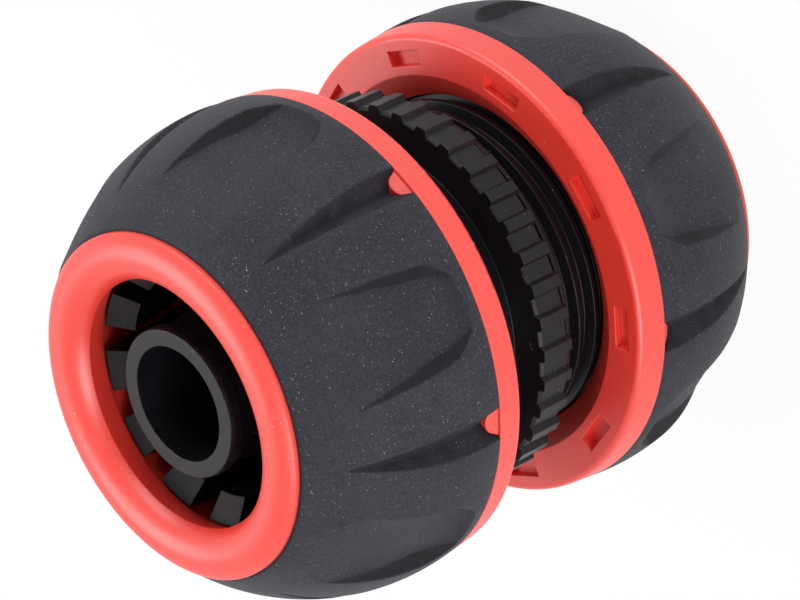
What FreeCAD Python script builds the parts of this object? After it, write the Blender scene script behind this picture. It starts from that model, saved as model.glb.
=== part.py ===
import FreeCAD, Part
import math
import os

# A hose mender joins two cut ends of a garden hose. It stands on the mouth of its lower nut.
# The black centre body is one moulding, with a toothed ring in the middle and, at each end, a
# barbed hose tail inside a ring of springy clamping fingers. A nut screws over each ring of
# fingers. A nut is a red shell that carries a soft black grip moulded over it.
# All lengths are in millimetres and all angles in degrees.

# Bore and barbed hose tail, measured along the axis from the middle of the body
tail_tip = 28.2
bore_radius = 5.4
tail_wall = 0.9
barb_height = 0.7
barb_land = 1.0
barb_back = 0.2
barb_pitch = 5.2
barb_count = 4
tail_tip_chamfer = 0.4
tail_tip_drop = 0.1

# Toothed ring of the body, and the thin collar beside it on the lower side
ring_width = 3.4
ring_step = 1.1
ring_chamfer = 0.25
rib_count = 38
rib_width = 1.0
rib_height = 0.45
rib_flank = 0.25
rib_phase = 6.5
collar_gap = 0.9
collar_width = 0.45
collar_step = 1.2
collar_gap_depth = 0.9
web_half_thickness = 2.2

# Sleeve of the body and its right-handed screw thread
sleeve_length = 13.4
socket_radius = 12.0
sleeve_wall = 2.9
thread_depth = 1.0
thread_crest_width = 0.5
thread_root_width = 1.2
thread_sink = 0.5
thread_pitch = 2.0
thread_start = 5.05
thread_clearance = 0.15

# Clamping fingers at the end of the sleeve
finger_count = 12
finger_span = 18.0
finger_phase = 11.5
finger_tip = 25.8
finger_root_step = 0.6
finger_wall = 2.5
finger_clearance = 0.65
finger_lead_in = 1.7
slot_margin = 0.8
grip_ridge_count = 4
grip_ridge_pitch = 1.55
grip_ridge_height = 0.65
grip_ridge_back = 0.15

# Nut shell, measured along its axis from the flat rim face towards the rounded lip of its mouth
nut_length = 22.0
shell_wall = 3.85
rim_band_width = 2.9
rim_draft = 0.3
rim_edge_round = 0.5
funnel_clearance = 1.3
funnel_depth = 1.7
nut_thread_end = 11.3
cavity_step = 1.15
cavity_chamfer = 1.0
throat_radius = 11.63
throat_flare = 0.97
clamp_edge_depth = 4.3
clamp_edge_step = 0.55
lip_tube_radius = 2.55
lip_outer_angle = 37.0
lip_crease_angle = 165.4
flange_thickness = 0.5

# Shallow pockets round the rim face of the shell
pocket_count = 10
pocket_margin = 0.8
pocket_width = 1.5
pocket_span = 12.0
pocket_depth = 0.9
pocket_phase = 9.0

# Soft grip over the shell, with a barrel-shaped outside
grip_thickness = 2.6
grip_bulge = 2.2
grip_front_proud = 0.26

# Finger scoops round the grip: an end wall near the rim, and a floor that fades out towards the mouth
scoop_count = 6
scoop_phase = 30.0
scoop_start = 4.1
scoop_deepest = 8.0
scoop_front_gap = 0.9
scoop_depth = 1.5
scoop_rim_half_width = 2.2
scoop_deep_half_width = 3.4
scoop_end_half_width = 5.6
scoop_wall_slope = 1.1
scoop_rim_power = 2
scoop_floor_power = 1.6
scoop_rim_stations = 4
scoop_floor_stations = 6

# Narrow grooves between the scoops, each with a red tab of the shell at its rim end
groove_phase = 0.0
groove_half_width = 1.65
groove_depth = 1.45
groove_front_gap = 2.7
groove_taper_power = 2.2
groove_tip = 0.02
groove_sections = 6
groove_lap = 0.1
tab_radius = 1.55
tab_fit = 0.05
tab_reach = 1.1
tab_root_drop = 0.35
tab_tip_drop = 0.75

# How far each nut's rim face stands from the middle of the body
upper_nut_gap = 8.2
lower_nut_gap = 6.6

# Sizes that follow from the ones above, from the bore outwards
AXIS = FreeCAD.Vector(0, 0, 1)
ORIGIN = FreeCAD.Vector(0, 0, 0)
FULL_TURN = 360.0
OVERSHOOT = 1.0
tail_radius = bore_radius + tail_wall
barb_radius = tail_radius + barb_height
thread_root_radius = socket_radius + sleeve_wall
thread_crest_radius = thread_root_radius + thread_depth
finger_root_radius = thread_root_radius - finger_root_step
collar_radius = thread_crest_radius + collar_step
ring_radius = collar_radius + ring_step
nut_thread_radius = thread_crest_radius + thread_clearance
cavity_radius = nut_thread_radius - cavity_step
clamp_edge_radius = throat_radius + throat_flare
funnel_radius = collar_radius + funnel_clearance
rim_radius = nut_thread_radius + shell_wall + grip_thickness
rim_face_radius = rim_radius - rim_draft
lip_centre_radius = throat_radius - lip_tube_radius * math.cos(math.radians(lip_crease_angle))
lip_centre_height = nut_length - lip_tube_radius
lip_edge_radius = lip_centre_radius + lip_tube_radius * math.cos(math.radians(lip_outer_angle))
lip_edge_height = lip_centre_height + lip_tube_radius * math.sin(math.radians(lip_outer_angle))
flange_height = lip_edge_height - flange_thickness
grip_front_radius = lip_edge_radius + grip_front_proud
scoop_end = flange_height - scoop_front_gap
groove_length = flange_height - groove_front_gap - rim_band_width
body_height = lower_nut_gap + nut_length


def at(radius, height):
    """Point of a profile in the plane that is turned about the axis."""
    return FreeCAD.Vector(radius, 0, height)


def outline(start, *steps):
    """Closed profile face. A step is an end point, or a middle and an end point of an arc."""
    edges = []
    first = here = at(*start)
    for step in steps:
        if isinstance(step[0], tuple):
            middle, end = at(*step[0]), at(*step[1])
            edges.append(Part.Arc(here, middle, end).toShape())
        else:
            end = at(*step)
            edges.append(Part.LineSegment(here, end).toShape())
        here = end
    if (here - first).Length > 0:
        edges.append(Part.LineSegment(here, first).toShape())
    return Part.Face(Part.Wire(edges))


def turned(*path):
    """Solid of revolution of an outline about the axis."""
    return outline(*path).revolve(ORIGIN, AXIS, FULL_TURN)


def polar(solid, count, phase):
    """Copies of a solid spaced evenly round the axis, as a list."""
    copies = []
    for number in range(count):
        copy = solid.copy()
        copy.rotate(ORIGIN, AXIS, phase + number * FULL_TURN / count)
        copies.append(copy)
    return copies


def on_circle(radius, angle):
    """Point of the plane across the axis at a radius and an angle."""
    return FreeCAD.Vector(radius * math.cos(math.radians(angle)), radius * math.sin(math.radians(angle)), 0)


def sector(inner, outer, span, low, high):
    """Block between two radii over an angle centred on the X axis, with flat inner and outer faces."""
    reach_inner = inner / math.cos(math.radians(span / 2))
    reach_outer = outer / math.cos(math.radians(span / 2))
    corners = [on_circle(reach_inner, -span / 2), on_circle(reach_outer, -span / 2)]
    corners += [on_circle(reach_outer, span / 2), on_circle(reach_inner, span / 2)]
    face = Part.Face(Part.makePolygon(corners + corners[:1]))
    face.translate(FreeCAD.Vector(0, 0, low))
    return face.extrude(FreeCAD.Vector(0, 0, high - low))


def barrel_arc():
    """Centre radius, centre height and radius of the arc that shapes the grip's barrel."""
    foot, front = (rim_radius, rim_band_width), (grip_front_radius, flange_height)
    run, drop = front[1] - foot[1], foot[0] - front[0]
    chord = math.hypot(run, drop)
    radius = chord ** 2 / (8 * grip_bulge) + grip_bulge / 2
    inset = radius - grip_bulge
    centre_radius = (foot[0] + front[0]) / 2 - inset * run / chord
    centre_height = (foot[1] + front[1]) / 2 - inset * drop / chord
    return centre_radius, centre_height, radius


def barrel_radius(height, under=0.0):
    """Radius of the grip's barrel at a height, or of the surface a given depth under it."""
    centre_radius, centre_height, radius = barrel_arc()
    return centre_radius + math.sqrt((radius - under) ** 2 - (height - centre_height) ** 2)


def lip_point(angle):
    """Point of the lip's rounded section, by its angle from straight outwards."""
    return (
        lip_centre_radius + lip_tube_radius * math.cos(math.radians(angle)),
        lip_centre_height + lip_tube_radius * math.sin(math.radians(angle)),
    )


def nut_bore_points():
    """Inside of the nut from the end of its thread to the crease at its mouth."""
    chamfer_top = nut_thread_end + cavity_chamfer
    edge_height = nut_length - clamp_edge_depth
    return [
        (nut_thread_radius, nut_thread_end),
        (cavity_radius, chamfer_top),
        (clamp_edge_radius + clamp_edge_step, edge_height),
        (clamp_edge_radius, edge_height),
        lip_point(lip_crease_angle),
    ]


def nut_bore_radius(height):
    """Radius of the nut's inside at a height between its thread and its mouth."""
    points = nut_bore_points()
    for (low_radius, low), (high_radius, high) in zip(points, points[1:]):
        if low <= height < high:
            return low_radius + (high_radius - low_radius) * (height - low) / (high - low)
    return points[-1][0]


def core_path():
    """Outside of the shell under the grip: a start, a middle and an end point."""
    foot = rim_band_width
    top = flange_height - grip_thickness / 2
    return [(barrel_radius(height, grip_thickness), height) for height in (foot, (foot + top) / 2, top)]


def shell_tab(grow=0.0):
    """Rounded tab at the rim that shows in the end of a groove, its top sloping down."""
    radius = tab_radius + grow
    post = Part.makeCylinder(radius, rim_radius, ORIGIN, FreeCAD.Vector(1, 0, 0))
    post.translate(FreeCAD.Vector(0, 0, rim_band_width + tab_reach - tab_radius))
    foot = core_path()[0][0] - OVERSHOOT
    front = rim_band_width + tab_reach + grow
    rise = (tab_tip_drop - tab_root_drop) / tab_reach
    top_back = rim_radius - tab_root_drop + grow
    top_front = top_back - rise * (front - rim_band_width)
    profile = [at(foot, rim_band_width), at(top_back, rim_band_width), at(top_front, front), at(foot, front)]
    wedge = Part.Face(Part.makePolygon(profile + profile[:1]))
    wedge.translate(FreeCAD.Vector(0, -rim_radius / 2, 0))
    return post.common(wedge.extrude(FreeCAD.Vector(0, rim_radius, 0)))


def nut_shell():
    """Red shell of a nut, with its rim face at the origin and its mouth upwards."""
    core_foot, core_middle, core_top = core_path()
    crease = lip_point(lip_crease_angle)
    lip_top = lip_point((lip_outer_angle + lip_crease_angle) / 2)
    lip_edge = (lip_edge_radius, lip_edge_height)
    slant = (rim_radius - rim_face_radius) / rim_band_width * rim_edge_round
    rounding = rim_edge_round * (1 - math.sqrt(0.5))
    path = [(funnel_radius, 0), (rim_face_radius - rim_edge_round, 0)]
    path.append(((rim_face_radius - rounding, rounding), (rim_face_radius + slant, rim_edge_round)))
    path.append((rim_radius, rim_band_width))
    path += [core_foot, core_middle, core_top, (core_top[0], flange_height)]
    path += [(lip_edge_radius, flange_height), lip_edge]
    path.append((lip_top, crease))
    path += nut_bore_points()[-2::-1]
    path.append((nut_thread_radius, funnel_depth))
    shell = turned(*path)
    pocket_radius = funnel_radius + pocket_margin
    pocket = sector(pocket_radius, pocket_radius + pocket_width, pocket_span, -OVERSHOOT, pocket_depth)
    shell = shell.cut(polar(pocket, pocket_count, pocket_phase))
    return shell.fuse(polar(shell_tab(), scoop_count, groove_phase)).removeSplitter()


def scoop_section(height):
    """Corners of a finger scoop's section at a height: flat floor, slanted sides, open outwards."""
    if height < scoop_deepest:
        fade = ((scoop_deepest - height) / (scoop_deepest - scoop_start)) ** scoop_rim_power
        half_width = scoop_deep_half_width - fade * (scoop_deep_half_width - scoop_rim_half_width)
    else:
        share = (height - scoop_deepest) / (scoop_end - scoop_deepest)
        fade = share ** scoop_floor_power
        half_width = scoop_deep_half_width + share * (scoop_end_half_width - scoop_deep_half_width)
    depth = scoop_depth * (1 - fade)
    floor = barrel_radius(height) - depth
    top = floor + max(depth, 0) + OVERSHOOT
    top_half = half_width + scoop_wall_slope * (top - floor)
    corners = [(floor, -half_width), (top, -top_half), (top, top_half), (floor, half_width)]
    points = [FreeCAD.Vector(x, y, height) for x, y in corners]
    return Part.makePolygon(points + points[:1])


def scoop_cutter():
    """Space of one finger scoop, lofted smoothly along the nut."""
    heights = []
    for number in range(-1, scoop_rim_stations):
        heights.append(scoop_start + (scoop_deepest - scoop_start) * number / scoop_rim_stations)
    for number in range(scoop_floor_stations + 1):
        heights.append(scoop_deepest + (scoop_end - scoop_deepest) * number / scoop_floor_stations)
    return Part.makeLoft([scoop_section(height) for height in heights], True, False)


def groove_cutter():
    """Space of one tapering groove with a V section, open at the rim end."""
    sections = []
    for number in range(groove_sections + 1):
        share = number / groove_sections
        height = rim_band_width - groove_lap + share * groove_length
        left = max(1 - share ** groove_taper_power, groove_tip)
        surface = barrel_radius(height)
        rise = OVERSHOOT / groove_depth / left
        top_half = groove_half_width * left * (1 + rise)
        bottom = surface - groove_depth * left
        corners = [(bottom, 0), (surface + OVERSHOOT, -top_half), (surface + OVERSHOOT, top_half)]
        points = [FreeCAD.Vector(x, y, height) for x, y in corners]
        sections.append(Part.makePolygon(points + points[:1]))
    return Part.makeLoft(sections, True, True)


def nut_grip():
    """Soft grip moulded over a nut's shell, with its scoops and grooves."""
    core_foot, core_middle, core_top = core_path()
    crown_height = (rim_band_width + flange_height) / 2
    crown = (barrel_radius(crown_height), crown_height)
    path = [core_foot, (rim_radius, rim_band_width), (crown, (grip_front_radius, flange_height))]
    path += [(core_top[0], flange_height), core_top, core_middle]
    grip = turned(*path)
    grip = grip.cut(polar(scoop_cutter(), scoop_count, scoop_phase))
    grip = grip.cut(polar(groove_cutter(), scoop_count, groove_phase))
    return grip.cut(polar(shell_tab(tab_fit), scoop_count, groove_phase))


def tail_section():
    """Outside of one barbed hose tail, from its mouth down to the web."""
    path = [(bore_radius, tail_tip), (barb_radius - tail_tip_drop, tail_tip)]
    for number in range(barb_count):
        top = tail_tip - tail_tip_chamfer - number * barb_pitch
        path += [(barb_radius, top), (barb_radius, top - barb_land), (tail_radius, top - barb_land - barb_back)]
    path.append((tail_radius, web_half_thickness))
    return path


def finger_section(tip_radius):
    """Clamping fingers and their sleeve, from the floor of the socket up and down to the thread."""
    def outside(height):
        share = (height - sleeve_length) / (finger_tip - sleeve_length)
        return finger_root_radius + share * (tip_radius - finger_root_radius)

    ridges = []
    for number in range(grip_ridge_count):
        height = finger_tip - finger_lead_in - number * grip_ridge_pitch
        crest = outside(height) - finger_wall
        ridges += [(crest, height), (crest + grip_ridge_height, height - grip_ridge_back)]
    path = [(socket_radius, web_half_thickness), (socket_radius, sleeve_length)]
    path += reversed(ridges)
    path += [(tip_radius, finger_tip), (finger_root_radius, sleeve_length), (thread_root_radius, sleeve_length)]
    return path


def ring_section(collared):
    """Half of the toothed ring down to the middle of the body, and its collar where it has one."""
    edge = ring_width / 2
    path = []
    if collared:
        foot = edge + collar_gap
        top = foot + collar_width
        gap_radius = collar_radius - collar_gap_depth
        path = [(thread_root_radius, top), (collar_radius, top), (collar_radius, foot), (gap_radius, foot)]
        path.append((gap_radius, edge))
    else:
        path.append((thread_root_radius, edge))
    path += [(ring_radius - ring_chamfer, edge), (ring_radius, edge - ring_chamfer)]
    return path


def half_section(nut_gap, collared):
    """Section of one half of the centre body, from the mouth of its bore to the middle of its ring."""
    tip_radius = nut_bore_radius(finger_tip - nut_gap) - finger_clearance
    return tail_section() + finger_section(tip_radius) + ring_section(collared)


def finger_slots():
    """Gaps between the clamping fingers of one end."""
    span = FULL_TURN / finger_count - finger_span
    low = sleeve_length + slot_margin
    slot = sector(barb_radius + barb_height, nut_thread_radius, span, low, finger_tip + OVERSHOOT)
    return polar(slot, finger_count, finger_phase + FULL_TURN / finger_count / 2)


def screw_thread():
    """Right-handed thread ridge of one end of the body, sunk a little into its sleeve."""
    rise = sleeve_length - thread_start - thread_root_width
    helix = Part.makeHelix(thread_pitch, rise, thread_root_radius)
    flank = (thread_root_width - thread_crest_width) / thread_depth / 2
    sunk_half = thread_root_width / 2 + flank * thread_sink
    sunk = thread_root_radius - thread_sink
    corners = [at(sunk, -sunk_half), at(thread_crest_radius, -thread_crest_width / 2)]
    corners += [at(thread_crest_radius, thread_crest_width / 2), at(sunk, sunk_half)]
    ridge = Part.Wire(helix).makePipeShell([Part.makePolygon(corners + corners[:1])], True, True)
    ridge.translate(FreeCAD.Vector(0, 0, thread_start))
    return ridge


def ring_rib():
    """One rib of the toothed ring, running along the axis."""
    foot = ring_radius - rib_height
    crest = ring_radius + rib_height
    crest_half = rib_width / 2
    foot_half = crest_half + rib_flank
    low = -ring_width / 2
    corners = [(foot, -foot_half), (ring_radius, -foot_half), (crest, -crest_half)]
    corners += [(crest, crest_half), (ring_radius, foot_half), (foot, foot_half)]
    points = [FreeCAD.Vector(x, y, low) for x, y in corners]
    rib = Part.Face(Part.makePolygon(points + points[:1]))
    return rib.extrude(FreeCAD.Vector(0, 0, -2 * low))


def turned_over(solid):
    """Copy of a solid turned end for end about the middle of the body."""
    copy = solid.copy()
    copy.rotate(ORIGIN, FreeCAD.Vector(1, 0, 0), FULL_TURN / 2)
    return copy


def centre_body():
    """Black moulding that joins the two hoses, with its middle at the origin."""
    lower = [(radius, -height) for radius, height in reversed(half_section(lower_nut_gap, True))]
    body = turned(*(half_section(upper_nut_gap, False) + lower))
    slots = finger_slots()
    body = body.cut(slots + [turned_over(slot) for slot in slots])
    body = body.fuse(polar(ring_rib(), rib_count, rib_phase)).removeSplitter()
    thread = screw_thread()
    return body.fuse(thread).fuse(turned_over(thread))


def placed(solid, low_end):
    """Nut part set on the upper end of the body, or turned over on to its lower end."""
    if low_end:
        solid = turned_over(solid)
        solid.translate(FreeCAD.Vector(0, 0, body_height - lower_nut_gap))
    else:
        solid.translate(FreeCAD.Vector(0, 0, body_height + upper_nut_gap))
    return solid


def save(name, shape):
    """Write one node and say how it came out."""
    solids = shape.Solids
    if len(solids) == 1:
        shape = solids[0]
    shape.exportStep(os.path.join("parts", name + ".step"))
    print(name, "solids", len(solids), "valid", shape.isValid(), "volume", round(shape.Volume, 1))


def main():
    os.makedirs("parts", exist_ok=True)
    body = centre_body()
    body.translate(FreeCAD.Vector(0, 0, body_height))
    save("centre_body", body)
    for name, low_end in (("upper_nut", False), ("lower_nut", True)):
        save(name + "_shell", placed(nut_shell(), low_end))
        save(name + "_grip", placed(nut_grip(), low_end))


main()
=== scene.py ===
"""Looks of a garden hose mender: finishes, softened grips, studio and camera, in metres."""

import logging
import math
from dataclasses import dataclass
from enum import Enum
from typing import Any, Mapping, Optional, Union

import bpy
from mathutils import Matrix, Vector


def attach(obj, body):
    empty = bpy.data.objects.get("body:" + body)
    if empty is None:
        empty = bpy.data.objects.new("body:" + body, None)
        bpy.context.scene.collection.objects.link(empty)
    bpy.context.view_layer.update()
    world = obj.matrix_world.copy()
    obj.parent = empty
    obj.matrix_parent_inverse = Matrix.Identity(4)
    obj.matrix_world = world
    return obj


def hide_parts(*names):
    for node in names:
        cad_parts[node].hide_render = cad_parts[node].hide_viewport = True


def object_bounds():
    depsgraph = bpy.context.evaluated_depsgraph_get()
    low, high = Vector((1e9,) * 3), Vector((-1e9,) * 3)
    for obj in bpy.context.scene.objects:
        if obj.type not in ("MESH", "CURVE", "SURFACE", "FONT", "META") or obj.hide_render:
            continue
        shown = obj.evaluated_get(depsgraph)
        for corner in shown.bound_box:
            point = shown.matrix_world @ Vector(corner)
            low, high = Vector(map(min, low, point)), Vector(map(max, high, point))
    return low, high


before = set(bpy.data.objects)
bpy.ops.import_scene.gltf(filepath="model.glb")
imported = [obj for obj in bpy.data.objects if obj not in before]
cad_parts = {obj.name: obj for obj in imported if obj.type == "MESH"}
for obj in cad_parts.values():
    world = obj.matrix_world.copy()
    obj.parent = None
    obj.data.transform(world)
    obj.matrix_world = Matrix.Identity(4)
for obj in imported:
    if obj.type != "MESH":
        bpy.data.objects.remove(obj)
CAD_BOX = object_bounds()

LOG = logging.getLogger("hose_mender")
MM = 0.001
MERGE_DISTANCE = 0.002 * MM
IMAGE_WIDTH = 800
SENSOR_WIDTH = 36.0
WHITE = (1.0, 1.0, 1.0, 1.0)
SHADER_SAMPLES = 6

# What a node's input takes: another node's output, or a plain number, vector or colour.
Term = Union[bpy.types.NodeSocket, float, tuple[float, ...]]


class Slot(Enum):
    """Material slots of the record that the pieces take their finish from."""

    BODY = "body_plastic"
    SHELL = "shell_plastic"
    GRIP = "grip_rubber"


def linear(code: str) -> tuple[float, float, float, float]:
    """Turn an sRGB hex colour into a linear one.

    Args:
        code: Six hex digits, such as "3a383c".

    Returns:
        Red, green, blue and an alpha of one.
    """
    channels = []
    for start in (0, 2, 4):
        value = int(code[start:start + 2], 16) / 255
        channels.append(value / 12.92 if value <= 0.04045 else ((value + 0.055) / 1.055) ** 2.4)
    return (channels[0], channels[1], channels[2], 1.0)


def per_metre(size_mm: float) -> float:
    """Texture scale that makes one feature as large as the given millimetres."""
    return 1 / (size_mm * MM)


def add_node(
    tree: bpy.types.NodeTree,
    kind: str,
    props: Optional[Mapping[str, Any]] = None,
    inputs: Optional[Mapping[Any, Term]] = None,
) -> bpy.types.Node:
    """Add a node with its settings and inputs.

    Args:
        tree: Node tree that gets the node.
        kind: Blender's name of the node type.
        props: Properties of the node.
        inputs: Sockets that feed its inputs, or their plain values, by name or number.

    Returns:
        The new node.
    """
    node = tree.nodes.new(kind)
    for name, value in (props or {}).items():
        setattr(node, name, value)
    for key, term in (inputs or {}).items():
        if isinstance(term, bpy.types.NodeSocket):
            tree.links.new(term, node.inputs[key])
        else:
            node.inputs[key].default_value = term
    return node


def scalar(tree: bpy.types.NodeTree, operation: str, *terms: Term) -> bpy.types.NodeSocket:
    """Work out a number with a Math node.

    Args:
        tree: Node tree that gets the node.
        operation: Blender's name of the operation.
        terms: What it works on, in order.

    Returns:
        Socket of the result.
    """
    props = {"operation": operation}
    return add_node(tree, "ShaderNodeMath", props, dict(enumerate(terms))).outputs[0]


def vector(tree: bpy.types.NodeTree, operation: str, *terms: Term) -> bpy.types.NodeSocket:
    """Work out a vector, a length or a dot product with a Vector Math node.

    Args:
        tree: Node tree that gets the node.
        operation: Blender's name of the operation.
        terms: What it works on, in order.

    Returns:
        Socket of the result.
    """
    props = {"operation": operation}
    node = add_node(tree, "ShaderNodeVectorMath", props, dict(enumerate(terms)))
    return node.outputs["Value" if operation in ("LENGTH", "DOT_PRODUCT") else "Vector"]


def remap(
    tree: bpy.types.NodeTree,
    value: bpy.types.NodeSocket,
    before: tuple[float, float] = (0.0, 1.0),
    after: tuple[float, float] = (0.0, 1.0),
    step: str = "LINEAR",
) -> bpy.types.NodeSocket:
    """Carry a value from one range over to another and hold it within that.

    Args:
        tree: Node tree that gets the node.
        value: The value.
        before: Ends of the range that it comes from.
        after: Ends of the range that it goes to.
        step: Blender's name of the way between the ends.

    Returns:
        Socket of the result.
    """
    return add_node(
        tree, "ShaderNodeMapRange", {"interpolation_type": step},
        {
            "Value": value,
            "From Min": before[0], "From Max": before[1],
            "To Min": after[0], "To Max": after[1],
        },
    ).outputs["Result"]


def noise(
    tree: bpy.types.NodeTree,
    place: bpy.types.NodeSocket,
    size_mm: float,
    detail: float,
    roughness: float,
) -> bpy.types.Node:
    """Add soft noise.

    Args:
        tree: Node tree that gets the node.
        place: Object coordinates.
        size_mm: Size of its largest features.
        detail: How many finer layers lie on them.
        roughness: How strong those layers are.

    Returns:
        The noise node.
    """
    inputs = {
        "Vector": place, "Scale": per_metre(size_mm), "Detail": detail, "Roughness": roughness,
    }
    return add_node(tree, "ShaderNodeTexNoise", None, inputs)


def blend(tree: bpy.types.NodeTree, share: Term, under: Term, over: Term) -> bpy.types.NodeSocket:
    """Mix two colours.

    Args:
        tree: Node tree that gets the node.
        share: Share of the second colour.
        under: First colour.
        over: Second colour.

    Returns:
        Socket of the mixed colour.
    """
    inputs = {0: share, 6: under, 7: over}
    return add_node(tree, "ShaderNodeMix", {"data_type": "RGBA"}, inputs).outputs[2]


def new_material(name: str) -> bpy.types.Material:
    """Make an empty material with nodes."""
    material = bpy.data.materials.new(name)
    material.use_nodes = True
    material.node_tree.nodes.clear()
    return material


def select_only(piece: bpy.types.Object) -> None:
    """Make one object the active and only selected one."""
    bpy.ops.object.select_all(action="DESELECT")
    piece.select_set(True)
    bpy.context.view_layer.objects.active = piece


@dataclass(frozen=True)
class Dust:
    """Pale specks and lint fibres that cling to a moulded surface.

    Args:
        speck_spacing_mm: Mean distance of the specks' seeds.
        speck_radius_mm: Largest radius of a speck.
        speck_share: Share of the seeds that carry a speck.
        fibre_length_mm: Length of the seed cell that holds a fibre.
        fibre_width_mm: Width of that cell.
        fibre_share: Share of the cells that carry a fibre.
        patch_mm: Size of the patches in which dust lies more thickly.
        patch_range: Noise of a clean patch and of a dusty one.
        patch_factors: What those two multiply the share of specks by.
        faintest: Strength of the faintest speck.
        fibre_radius: Half the thickness of a fibre, as a share of its cell.
        fibre_turns: Turns of the two ways that fibres lie, in radians.
    """

    speck_spacing_mm: float
    speck_radius_mm: float
    speck_share: float
    fibre_length_mm: float
    fibre_width_mm: float
    fibre_share: float
    patch_mm: float
    patch_range: tuple[float, float] = (0.35, 0.7)
    patch_factors: tuple[float, float] = (0.25, 2.0)
    faintest: float = 0.25
    fibre_radius: float = 0.4
    fibre_turns: tuple[tuple[float, float, float], ...] = ((0.4, 0.9, 0.2), (1.3, -0.5, 1.1))

    def specks(
        self, tree: bpy.types.NodeTree, place: bpy.types.NodeSocket,
    ) -> bpy.types.NodeSocket:
        """Mask of round specks, each of its own size and strength.

        Args:
            tree: Node tree of the finish.
            place: Object coordinates.

        Returns:
            Socket from 0 for clean to 1 for a full speck.
        """
        cells = add_node(
            tree, "ShaderNodeTexVoronoi",
            inputs={
                "Vector": place, "Scale": per_metre(self.speck_spacing_mm), "Randomness": 1.0,
            },
        )
        traits = add_node(
            tree, "ShaderNodeSeparateColor", inputs={"Color": cells.outputs["Color"]},
        )
        patches = noise(tree, place, self.patch_mm, detail=3.0, roughness=0.6)
        shares = (
            self.patch_factors[0] * self.speck_share, self.patch_factors[1] * self.speck_share,
        )
        chance = remap(tree, patches.outputs["Fac"], self.patch_range, shares)
        carries = scalar(tree, "LESS_THAN", traits.outputs["Red"], chance)
        largest = self.speck_radius_mm / self.speck_spacing_mm
        radius = scalar(tree, "MULTIPLY", traits.outputs["Green"], largest)
        inside = scalar(tree, "LESS_THAN", cells.outputs["Distance"], radius)
        strength = remap(tree, traits.outputs["Blue"], after=(self.faintest, 1.0))
        shown = scalar(tree, "MULTIPLY", inside, carries)
        return scalar(tree, "MULTIPLY", shown, strength)

    def fibres(
        self,
        tree: bpy.types.NodeTree,
        place: bpy.types.NodeSocket,
        turn: tuple[float, float, float],
    ) -> bpy.types.NodeSocket:
        """Mask of fine curled fibres that lie mostly one way.

        Args:
            tree: Node tree of the finish.
            place: Object coordinates.
            turn: Turn of the fibres' direction in radians.

        Returns:
            Socket that is 1 on a fibre.
        """
        curl = noise(tree, place, self.fibre_length_mm, detail=1.0, roughness=0.5)
        centred = vector(tree, "SUBTRACT", curl.outputs["Color"], (0.5, 0.5, 0.5))
        reach = (self.fibre_length_mm * MM,) * 3
        bent = vector(tree, "MULTIPLY_ADD", centred, reach, place)
        across = per_metre(self.fibre_width_mm)
        stretched = add_node(
            tree, "ShaderNodeMapping",
            inputs={
                "Vector": bent,
                "Rotation": turn,
                "Scale": (per_metre(self.fibre_length_mm), across, across),
            },
        )
        cells = add_node(
            tree, "ShaderNodeTexVoronoi",
            inputs={"Vector": stretched.outputs["Vector"], "Scale": 1.0},
        )
        traits = add_node(
            tree, "ShaderNodeSeparateColor", inputs={"Color": cells.outputs["Color"]},
        )
        carries = scalar(tree, "LESS_THAN", traits.outputs["Red"], self.fibre_share)
        inside = scalar(tree, "LESS_THAN", cells.outputs["Distance"], self.fibre_radius)
        return scalar(tree, "MULTIPLY", inside, carries)

    def mask(self, tree: bpy.types.NodeTree, place: bpy.types.NodeSocket) -> bpy.types.NodeSocket:
        """Specks and two sets of fibres together.

        Args:
            tree: Node tree of the finish.
            place: Object coordinates.

        Returns:
            Socket from 0 for clean to 1 for dusty.
        """
        covered = self.specks(tree, place)
        for turn in self.fibre_turns:
            covered = scalar(tree, "MAXIMUM", covered, self.fibres(tree, place, turn))
        return covered


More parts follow.
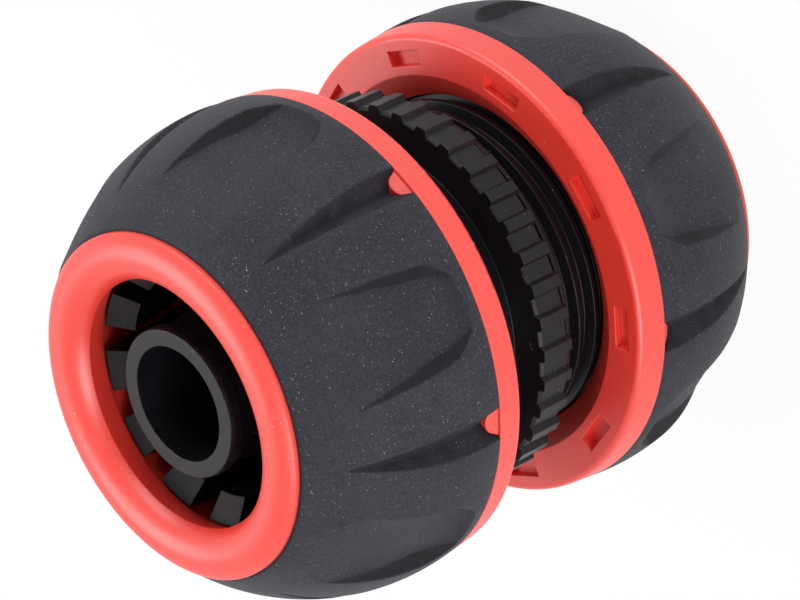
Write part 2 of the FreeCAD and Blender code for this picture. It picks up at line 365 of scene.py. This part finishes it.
@dataclass(frozen=True)
class PaintedWallShade:
    """Painted shade: a darker colour on the walls of scoops and grooves and in the crevices of
    both barrels.

    Args:
        half_distance_mm: Half the distance between the heights of the barrels' arc centres.
        middle_mm: Height half way between them.
        centre_radius_mm: Radius of the circle that the arc centres lie on.
        wall: Cosine at which a face counts as a wall.
        face: Cosine from which a face counts as open.
        shade_reach_mm: Distance over which a nearby wall darkens a face with painted shade.
        crevice_shade_power: How strongly the painted shade deepens towards a crevice.
    """

    half_distance_mm: float
    middle_mm: float
    centre_radius_mm: float
    wall: float
    face: float
    shade_reach_mm: float
    crevice_shade_power: float

    def barrel_normal(
        self, tree: bpy.types.NodeTree, place: bpy.types.NodeSocket,
    ) -> bpy.types.NodeSocket:
        """Direction in which the smooth barrel would face, away from its arc's centre.

        Args:
            tree: Node tree of the finish.
            place: Object coordinates.

        Returns:
            Socket of a vector of length one.
        """
        parts = add_node(tree, "ShaderNodeSeparateXYZ", inputs={0: place})
        above = scalar(tree, "SUBTRACT", parts.outputs["Z"], self.middle_mm * MM)
        side = scalar(tree, "SIGN", above)
        centre = scalar(tree, "MULTIPLY", side, self.half_distance_mm * MM)
        height = scalar(tree, "SUBTRACT", above, centre)
        flat = vector(tree, "MULTIPLY", place, (1.0, 1.0, 0.0))
        radius = vector(tree, "LENGTH", flat)
        run = scalar(tree, "SUBTRACT", radius, self.centre_radius_mm * MM)
        across = vector(tree, "MULTIPLY", vector(tree, "NORMALIZE", flat), run)
        along = add_node(tree, "ShaderNodeCombineXYZ", inputs={"Z": height}).outputs[0]
        return vector(tree, "NORMALIZE", vector(tree, "ADD", across, along))

    def unshaded_share(
        self,
        tree: bpy.types.NodeTree,
        place: bpy.types.NodeSocket,
        normal: bpy.types.NodeSocket,
    ) -> bpy.types.NodeSocket:
        """Mask that is 1 on faces that follow the barrel and 0 on walls and in crevices, where
        shade is painted.

        Args:
            tree: Node tree of the finish.
            place: Object coordinates.
            normal: Normal in the same coordinates.

        Returns:
            Socket from 0 to 1.
        """
        lean = vector(tree, "DOT_PRODUCT", self.barrel_normal(tree, place), normal)
        follows = remap(tree, lean, (self.wall, self.face), step="SMOOTHSTEP")
        # Ambient occlusion darkens crevices here as painted shade.
        near = add_node(
            tree, "ShaderNodeAmbientOcclusion",
            {"samples": SHADER_SAMPLES, "only_local": True},
            {"Distance": self.shade_reach_mm * MM},
        )
        clear = scalar(tree, "POWER", near.outputs["AO"], self.crevice_shade_power)
        return scalar(tree, "MULTIPLY", follows, clear)


@dataclass(frozen=True)
class MouldedFinish:
    """Moulded polymer with a fine tool grain, uneven tone and a little dust.

    Args:
        name: Name of the material.
        deep: Hex colour of the darker patches.
        pale: Hex colour of the lighter patches.
        tone_mm: Size of those patches.
        mottle: How strongly the grain itself varies the tone.
        roughness: Least and greatest roughness.
        specular: Specular level, 0.5 for a plain plastic.
        grain_mm: Width of the tool grain.
        grain_depth_mm: Depth of that grain.
        edge_mm: Radius that moulded edges are softened to.
        dust_colour: Hex colour of the dust.
        dust: Dust on the surface.
        sheen: Weight of the soft sheen.
        glow: Weight of the light that scatters under the surface.
        glow_mm: How far that light travels.
        glow_reach: Share of that way that red, green and blue go.
        grain_range: Noise of the grain's valleys and of its tops.
        wall_shade: Painted shade on walls and in crevices, where the finish has one.
        wall_shade_colour: Hex colour of that painted shade.
    """

    name: str
    deep: str
    pale: str
    tone_mm: float
    mottle: float
    roughness: tuple[float, float]
    specular: float
    grain_mm: float
    grain_depth_mm: float
    edge_mm: float
    dust_colour: str
    dust: Dust
    sheen: float = 0.0
    glow: float = 0.0
    glow_mm: float = 0.0
    glow_reach: tuple[float, float, float] = (1.0, 0.25, 0.15)
    grain_range: tuple[float, float] = (0.3, 0.7)
    wall_shade: Optional[PaintedWallShade] = None
    wall_shade_colour: str = "000000"

    def colour(
        self,
        tree: bpy.types.NodeTree,
        place: bpy.types.NodeSocket,
        grain: bpy.types.NodeSocket,
        edges: bpy.types.NodeSocket,
    ) -> bpy.types.NodeSocket:
        """Colour of the polymer with its dust, and with painted shade on walls and in crevices
        where the finish has it.

        Args:
            tree: Node tree of the finish.
            place: Object coordinates.
            grain: Height of the tool grain.
            edges: Normal with softened edges.

        Returns:
            Socket of the colour.
        """
        tone = noise(tree, place, self.tone_mm, detail=7.0, roughness=0.62)
        centred = scalar(tree, "SUBTRACT", grain, 0.5)
        mottled = scalar(tree, "MULTIPLY_ADD", centred, self.mottle, tone.outputs["Fac"])
        base = blend(tree, mottled, linear(self.deep), linear(self.pale))
        covered = self.dust.mask(tree, place)
        # Painted shade: walls and crevices take a darker colour, and their dust is taken off.
        if self.wall_shade:
            rounded = add_node(
                tree, "ShaderNodeVectorTransform",
                {"vector_type": "NORMAL", "convert_from": "WORLD", "convert_to": "OBJECT"},
                {"Vector": edges},
            )
            unshaded_share = self.wall_shade.unshaded_share(tree, place, rounded.outputs["Vector"])
            base = blend(tree, unshaded_share, linear(self.wall_shade_colour), base)
            covered = scalar(tree, "MULTIPLY", covered, unshaded_share)
        return blend(tree, covered, base, linear(self.dust_colour))

    def build(self) -> bpy.types.Material:
        """Make the material.

        Returns:
            The finished material.
        """
        material = new_material(self.name)
        tree = material.node_tree
        place = add_node(tree, "ShaderNodeTexCoord").outputs["Object"]
        grain = noise(tree, place, self.grain_mm, detail=3.0, roughness=0.6).outputs["Fac"]
        edges = add_node(
            tree, "ShaderNodeBevel", {"samples": SHADER_SAMPLES}, {"Radius": self.edge_mm * MM},
        ).outputs["Normal"]
        relief = add_node(
            tree, "ShaderNodeBump",
            inputs={
                "Height": grain,
                "Normal": edges,
                "Strength": 1.0,
                "Distance": self.grain_depth_mm * MM,
            },
        )
        surface = add_node(
            tree, "ShaderNodeBsdfPrincipled", {"subsurface_method": "RANDOM_WALK"},
            {
                "Base Color": self.colour(tree, place, grain, edges),
                "Roughness": remap(tree, grain, self.grain_range, self.roughness),
                "Normal": relief.outputs["Normal"],
                "Specular IOR Level": self.specular,
                "Sheen Weight": self.sheen,
                "Sheen Roughness": 0.5,
                "Subsurface Weight": self.glow,
                "Subsurface Radius": self.glow_reach,
                "Subsurface Scale": self.glow_mm * MM,
            },
        )
        add_node(tree, "ShaderNodeOutputMaterial", inputs={"Surface": surface.outputs[0]})
        return material


# Thermoplastic rubber moulded over the nut. It is matt charcoal with a fine grain, and its soft
# skin holds on to dust and lint. The walls of its scoops and grooves and its crevices carry
# painted shade: a darker colour, with the dust kept off them.
SOFT_GRIP_RUBBER = MouldedFinish(
    name="overmoulded_thermoplastic_rubber",
    deep="1f1e24",
    pale="3a3941",
    tone_mm=7.0,
    mottle=2.2,
    roughness=(0.52, 0.68),
    specular=0.18,
    grain_mm=0.24,
    grain_depth_mm=0.09,
    edge_mm=0.3,
    dust_colour="b0aeb6",
    dust=Dust(
        speck_spacing_mm=0.28,
        speck_radius_mm=0.042,
        speck_share=0.55,
        fibre_length_mm=0.9,
        fibre_width_mm=0.035,
        fibre_share=0.005,
        patch_mm=5.0,
    ),
    sheen=0.03,
    # Painted shade on the walls of scoops and grooves and in crevices, in the dark colour given
    # below.
    wall_shade=PaintedWallShade(
        half_distance_mm=12.99,
        middle_mm=29.4,
        centre_radius_mm=1.88,
        wall=0.66,
        face=0.985,
        shade_reach_mm=1.3,
        crevice_shade_power=2.4,
    ),
    wall_shade_colour="141318",
)

# Injection-moulded polypropylene, dyed through in coral red. It has a soft satin shine, and light
# travels a little way under its skin.
CORAL_POLYPROPYLENE = MouldedFinish(
    name="moulded_coral_polypropylene",
    deep="e8382d",
    pale="ed4237",
    tone_mm=9.0,
    mottle=0.4,
    roughness=(0.36, 0.46),
    specular=0.85,
    grain_mm=0.3,
    grain_depth_mm=0.006,
    edge_mm=0.18,
    dust_colour="f6c0b8",
    dust=Dust(
        speck_spacing_mm=1.3,
        speck_radius_mm=0.06,
        speck_share=0.1,
        fibre_length_mm=1.6,
        fibre_width_mm=0.06,
        fibre_share=0.0006,
        patch_mm=6.0,
    ),
    glow=0.12,
    glow_mm=0.8,
)

# Injection-moulded black acetal. It is a little glossier than the grips and nearly clean.
BLACK_ACETAL = MouldedFinish(
    name="moulded_black_acetal",
    deep="0a090d",
    pale="110f14",
    tone_mm=6.0,
    mottle=0.8,
    roughness=(0.3, 0.42),
    specular=0.3,
    grain_mm=0.25,
    grain_depth_mm=0.012,
    edge_mm=0.16,
    dust_colour="9a999e",
    dust=Dust(
        speck_spacing_mm=1.0,
        speck_radius_mm=0.07,
        speck_share=0.14,
        fibre_length_mm=1.4,
        fibre_width_mm=0.06,
        fibre_share=0.001,
        patch_mm=5.0,
    ),
)


@dataclass
class SoftGrip:
    """Rubber grip of one nut, with the soft edges that its mould gives.

    Args:
        node: CAD node that the grip stands for.
        body: Body that it turns with.
        name: Name of the piece.
        crease_angle: Edges sharper than this many degrees are rounded.
        edge_mm: Width of the rounding.
        edge_segments: Facets across the rounding.
        smooth_angle: Edges flatter than this many degrees are shaded round.
    """

    node: str
    body: str
    name: str
    crease_angle: float = 18.0
    edge_mm: float = 0.12
    edge_segments: int = 2
    smooth_angle: float = 30.0

    def merge(self, drop_slivers: bool) -> None:
        """Join the points of the active mesh that lie on one another.

        Args:
            drop_slivers: Whether faces and edges with no size go too.
        """
        bpy.ops.object.mode_set(mode="EDIT")
        bpy.ops.mesh.select_all(action="SELECT")
        bpy.ops.mesh.remove_doubles(threshold=MERGE_DISTANCE)
        if drop_slivers:
            bpy.ops.mesh.dissolve_degenerate(threshold=MERGE_DISTANCE)
        bpy.ops.object.mode_set(mode="OBJECT")

    def build(self) -> bpy.types.Object:
        """Copy the node, merge it and round its edges.

        Returns:
            The finished grip.
        """
        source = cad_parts[self.node]
        grip = bpy.data.objects.new(self.name, source.data.copy())
        bpy.context.scene.collection.objects.link(grip)
        select_only(grip)
        self.merge(drop_slivers=False)
        rounding = grip.modifiers.new("rounding", "BEVEL")
        rounding.limit_method = "ANGLE"
        rounding.angle_limit = math.radians(self.crease_angle)
        rounding.width = self.edge_mm * MM
        rounding.segments = self.edge_segments
        bpy.ops.object.modifier_apply(modifier=rounding.name)
        self.merge(drop_slivers=True)
        bpy.ops.object.shade_smooth_by_angle(angle=math.radians(self.smooth_angle))
        return grip

    def dress(self, grip: bpy.types.Object, finish: bpy.types.Material) -> None:
        """Give the grip its rubber and let it turn with its nut.

        Args:
            grip: The finished grip.
            finish: Its rubber.
        """
        grip.data.materials.clear()
        grip.data.materials.append(finish)
        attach(grip, self.body)
        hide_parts(self.node)


@dataclass
class CadPiece:
    """Piece whose CAD shape is shown as it is.

    Args:
        node: Its CAD node.
        slot: Material slot of the record; not used.
    """

    node: str
    slot: Slot

    def dress(self, finish: bpy.types.Material) -> None:
        """Give the CAD node its finish.

        Args:
            finish: The plastic that it is moulded from.
        """
        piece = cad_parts[self.node]
        piece.data.materials.clear()
        piece.data.materials.append(finish)


@dataclass
class SoftLamp:
    """Large soft lamp that faces the mender.

    Args:
        name: Name of the lamp.
        place: Its centre in metres.
        width: Its width in metres.
        height: Its height in metres.
        power: Its power in watts.
    """

    name: str
    place: tuple[float, float, float]
    width: float
    height: float
    power: float

    def build(self, middle: Vector) -> bpy.types.Object:
        """Make the lamp and aim it at the middle of the mender.

        Args:
            middle: Point that the lamp faces.

        Returns:
            The lamp.
        """
        light = bpy.data.lights.new(self.name, "AREA")
        light.shape = "RECTANGLE"
        light.size = self.width
        light.size_y = self.height
        light.energy = self.power
        lamp = bpy.data.objects.new(self.name, light)
        bpy.context.scene.collection.objects.link(lamp)
        lamp.location = self.place
        lamp.rotation_mode = "QUATERNION"
        lamp.rotation_quaternion = (Vector(self.place) - middle).to_track_quat("Z", "Y")
        return lamp


LAMPS = (
    SoftLamp("key_lamp", place=(0.50, -0.16, 0.16), width=0.45, height=0.22, power=1.45),
    SoftLamp("right_lamp", place=(-0.34, -0.36, 0.28), width=0.4, height=0.25, power=2.2),
    SoftLamp("mouth_lamp", place=(0.12, 0.26, 0.50), width=0.35, height=0.35, power=1.7),
)


@dataclass
class Studio:
    """Pale floor, soft light and the camera of the photograph.

    Args:
        floor_size: Side of the floor in metres.
        floor_colour: Hex colour of the floor.
        floor_roughness: Roughness of its paint.
        floor_glow: Share of plain white that the camera sees in the floor.
        ambient: Strength of the light from all around.
        focal_pixels: Focal length in pixels of the picture.
        clip: Nearest and farthest distance that the camera sees, in metres.
        place: The camera's place in metres.
        right: Direction to the right of the picture.
        up: Direction to the top of the picture.
        back: Direction from the picture to the viewer.
    """

    floor_size: float = 6.0
    floor_colour: str = "ffffff"
    floor_roughness: float = 0.5
    floor_glow: float = 0.92
    ambient: float = 0.34
    focal_pixels: float = 4350.24
    clip: tuple[float, float] = (0.01, 20.0)
    place: tuple[float, float, float] = (0.0381, -0.3127, 0.2655)
    right: tuple[float, float, float] = (-0.3672, -0.5876, -0.7210)
    up: tuple[float, float, float] = (0.9250, -0.1493, -0.3494)
    back: tuple[float, float, float] = (0.0976, -0.7952, 0.5984)

    def directions(self) -> Matrix:
        """Directions of the picture, as the columns of a matrix."""
        return Matrix((self.right, self.up, self.back)).transposed()

    def seen_directly(self, tree: bpy.types.NodeTree) -> bpy.types.NodeSocket:
        """Socket that is 1 for rays that show the background itself or its reflection.

        Args:
            tree: Node tree of the floor or of the world.

        Returns:
            The socket.
        """
        path = add_node(tree, "ShaderNodeLightPath")
        seen = path.outputs["Is Camera Ray"]
        for name in ("Is Glossy Ray", "Is Transmission Ray"):
            seen = scalar(tree, "MAXIMUM", seen, path.outputs[name])
        return seen

    def build_floor(self) -> bpy.types.Object:
        """Lay the pale floor.

        Returns:
            The floor.
        """
        bpy.ops.object.select_all(action="DESELECT")
        bpy.ops.mesh.primitive_plane_add(size=self.floor_size)
        floor = bpy.context.object
        floor.name = "floor"
        # White painted board. It is matt, and it takes the mender's soft shadow.
        material = new_material("white_painted_board")
        tree = material.node_tree
        paint = add_node(
            tree, "ShaderNodeBsdfDiffuse",
            inputs={"Color": linear(self.floor_colour), "Roughness": self.floor_roughness},
        )
        white = add_node(tree, "ShaderNodeEmission", inputs={"Color": WHITE, "Strength": 1.0})
        share = scalar(tree, "MULTIPLY", self.seen_directly(tree), self.floor_glow)
        mixed = add_node(
            tree, "ShaderNodeMixShader",
            inputs={0: share, 1: paint.outputs[0], 2: white.outputs[0]},
        )
        add_node(tree, "ShaderNodeOutputMaterial", inputs={"Surface": mixed.outputs[0]})
        floor.data.materials.append(material)
        return floor

    def build_world(self) -> None:
        """Light the scene softly from all around and show white behind it."""
        world = bpy.data.worlds.new("soft_surround")
        bpy.context.scene.world = world
        world.use_nodes = True
        tree = world.node_tree
        tree.nodes.clear()
        strength = remap(tree, self.seen_directly(tree), after=(self.ambient, 1.0))
        glow = add_node(
            tree, "ShaderNodeBackground", inputs={"Color": WHITE, "Strength": strength},
        )
        add_node(tree, "ShaderNodeOutputWorld", inputs={"Surface": glow.outputs[0]})

    def build_camera(self) -> bpy.types.Object:
        """Set the camera where the photograph was taken from.

        Returns:
            The camera.
        """
        lens = bpy.data.cameras.new("camera")
        lens.sensor_width = SENSOR_WIDTH
        lens.lens = self.focal_pixels * SENSOR_WIDTH / IMAGE_WIDTH
        lens.clip_start, lens.clip_end = self.clip
        camera = bpy.data.objects.new("camera", lens)
        bpy.context.scene.collection.objects.link(camera)
        camera.matrix_world = Matrix.Translation(self.place) @ self.directions().to_4x4()
        bpy.context.scene.camera = camera
        return camera

    def build(self) -> None:
        """Make the floor, the surround, the camera and the lamps."""
        bpy.context.scene.view_settings.view_transform = "Standard"
        self.build_floor()
        self.build_world()
        self.build_camera()
        low, high = CAD_BOX
        for lamp in LAMPS:
            lamp.build((low + high) / 2)


def main() -> None:
    """Build and dress the mender, then its studio."""
    logging.basicConfig(level=logging.INFO, format="%(message)s")
    rubber = SOFT_GRIP_RUBBER.build()
    coral = CORAL_POLYPROPYLENE.build()
    acetal = BLACK_ACETAL.build()
    CadPiece("centre_body", Slot.BODY).dress(acetal)
    LOG.info("centre body dressed")
    for nut in ("upper_nut", "lower_nut"):
        CadPiece(nut + "_shell", Slot.SHELL).dress(coral)
        LOG.info("%s shell dressed", nut)
        soft = SoftGrip(nut + "_grip", nut, nut + "_soft_grip")
        grip = soft.build()
        soft.dress(grip, rubber)
        LOG.info("%s grip has %d faces", nut, len(grip.data.polygons))
    Studio().build()


if __name__ == "__main__":
    main()
